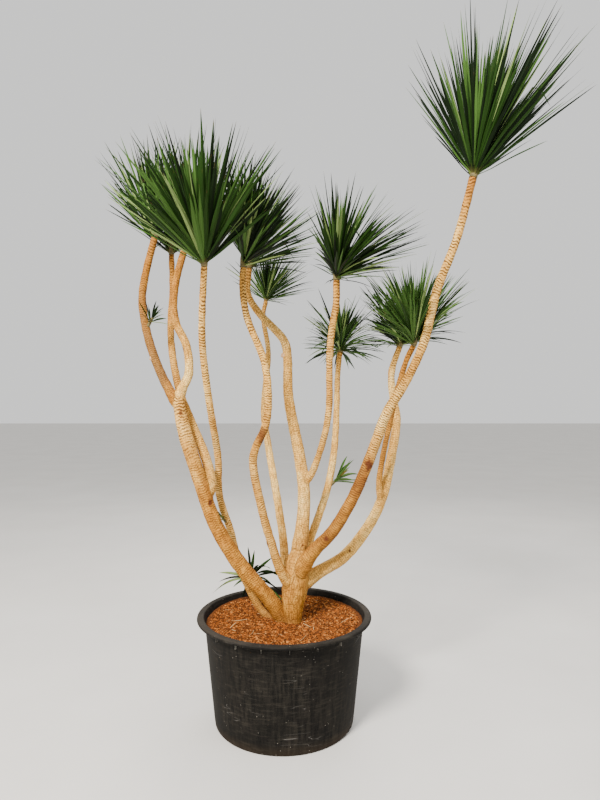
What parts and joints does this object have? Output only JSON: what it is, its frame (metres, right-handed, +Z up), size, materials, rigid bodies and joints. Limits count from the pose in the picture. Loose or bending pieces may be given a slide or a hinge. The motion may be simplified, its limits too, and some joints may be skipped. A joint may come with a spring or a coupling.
{
  "type": "potted dragon tree",
  "caption": "Branching dragon tree with long ringed canes, each ending in a head of sword-shaped leaves, growing in a round nursery tub filled with bark mulch.",
  "frame": {"origin": "centre of the tub's flat underside", "axes": "+Z up along the tub's axis, -Y towards the front, from where the tallest cane leans to the right, +X to the right as seen from the front"},
  "size_m": [2.1812, 1.465, 3.1084],
  "materials": {
    "tub_plastic": "near-black moulded plastic, dull and dusty, scuffed along the rim",
    "mulch": "loose coarse red-brown bark and coir",
    "bark": "matt tan bark with close rings of leaf scars",
    "leaves": "dark green sword leaves with a soft gloss",
    "young_leaves": "lighter green young leaves with a soft gloss"
  },
  "bodies": {
    "root": {"pot": "tub_plastic", "potting_mulch": "mulch", "trunk": "bark", "left_stem": "bark", "slim_left_stem": "bark", "left_inner_cane": "bark", "left_outer_cane": "bark", "left_rear_cane": "bark", "tall_right_cane": "bark", "centre_leader": "bark", "low_right_cane": "bark", "front_cane": "bark", "rear_cane": "bark", "right_rear_cane": "bark", "centre_side_cane": "bark", "right_side_cane": "bark", "left_outer_cane_leaves": "leaves", "left_rear_cane_leaves": "leaves", "left_inner_cane_leaves": "leaves", "slim_left_stem_leaves": "leaves", "front_cane_leaves": "leaves", "centre_leader_leaves": "leaves", "rear_cane_leaves": "leaves", "centre_side_cane_leaves": "leaves", "right_rear_cane_leaves": "leaves", "low_right_cane_leaves": "leaves", "right_side_cane_leaves": "leaves", "tall_right_cane_leaves": "leaves", "outer_shoot": "young_leaves", "tiny_shoot": "young_leaves", "right_shoot": "young_leaves", "basal_shoot": "young_leaves"}
  },
  "joints": []
}
